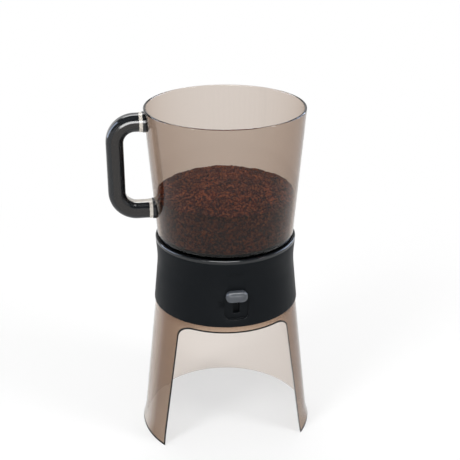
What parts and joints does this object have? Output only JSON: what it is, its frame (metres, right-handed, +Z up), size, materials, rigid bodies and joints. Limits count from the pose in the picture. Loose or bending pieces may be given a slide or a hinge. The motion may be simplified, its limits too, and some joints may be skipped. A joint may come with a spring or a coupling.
{
  "type": "cold brew coffee maker",
  "caption": "Cold brew coffee maker: smoked brewing container with loop handle and base valve, seated on a clear arched stand with a black ring and sliding drain switch.",
  "frame": {"origin": "on the stand's centre line, at the level of the foot", "axes": "+Z up along the stand's axis; -Y is the front, with the arch and the switch; -X is the side of the handle"},
  "size_m": [0.219, 0.1796, 0.37],
  "materials": {
    "smoked_clear": "smoked copolyester, clear and glossy",
    "pale_clear": "clear copolyester, very lightly smoked",
    "black_matte": "black ABS, fine matt",
    "black_gloss": "black ABS, glossy",
    "grey_knob": "blue-grey ABS, semi-gloss",
    "acetal": "natural acetal",
    "steel": "stainless steel",
    "steel_mesh": "woven stainless mesh",
    "silicone": "grey silicone",
    "black_rubber": "black silicone",
    "coffee": "coarse ground coffee, dark reddish brown",
    "handle_inlay": "dark smoked plastic, glossy"
  },
  "bodies": {
    "stand": {"leg_shell": "smoked_clear", "ring_housing": "black_matte", "drip_well": "black_gloss", "drain_funnel": "black_matte", "funnel_screws": "steel", "bottom_cover": "black_matte", "cover_screws": "steel", "plunger_guide": "black_matte", "lever_pin": "steel"},
    "lever": {"rocker_lever": "acetal"},
    "plunger": {"plunger": "black_gloss"},
    "switch": {"switch_slider": "black_matte", "switch_pin": "steel", "switch_knob": "grey_knob"},
    "container": {"brew_container": "smoked_clear", "lower_skirt": "pale_clear", "drain_tube": "black_gloss", "floor_gasket": "silicone", "lock_collar": "black_matte", "valve_guide": "black_matte", "valve_spring": "steel", "handle_grip": "black_gloss", "handle_panels": "handle_inlay", "handle_strip": "pale_clear", "handle_collars": "pale_clear", "handle_bosses": "black_gloss"},
    "valve": {"valve_plug": "silicone", "valve_stem": "black_matte"},
    "filter": {"filter_frame": "black_matte", "filter_mesh": "steel_mesh", "filter_ring": "black_matte", "filter_gasket": "black_rubber", "coffee_bed": "coffee"}
  },
  "joints": [
    {"name": "container_lift", "type": "slide", "parent": "stand", "child": "container", "axis": [0, 0, 1], "range_m": [0, 0.076]},
    {"name": "filter_lift", "type": "slide", "parent": "container", "child": "filter", "axis": [0, 0, 1], "range_m": [0, 0.15]},
    {"name": "brew_switch", "type": "slide", "parent": "stand", "child": "switch", "axis": [0, 0, -1], "range_m": [0, 0.012]},
    {"name": "lever_rock", "type": "hinge", "parent": "stand", "child": "lever", "pos_m": [0, -0.031, 0.1645], "axis": [1, 0, 0], "range_deg": [0, 20.32]},
    {"name": "plunger_lift", "type": "slide", "parent": "stand", "child": "plunger", "axis": [0, 0, 1], "range_m": [0, 0.0083]},
    {"name": "valve_lift", "type": "slide", "parent": "container", "child": "valve", "axis": [0, 0, 1], "range_m": [0, 0.0083], "stiffness_N_per_m": 40, "springref_m": -0.01, "deforming": ["valve_spring"]}
  ],
  "couplings": [
    {"joint": "lever_rock", "follows": "brew_switch", "rad_per_m": 29.538},
    {"joint": "plunger_lift", "follows": "brew_switch", "ratio": 0.6905},
    {"joint": "valve_lift", "follows": "brew_switch", "ratio": 0.6905}
  ]
}
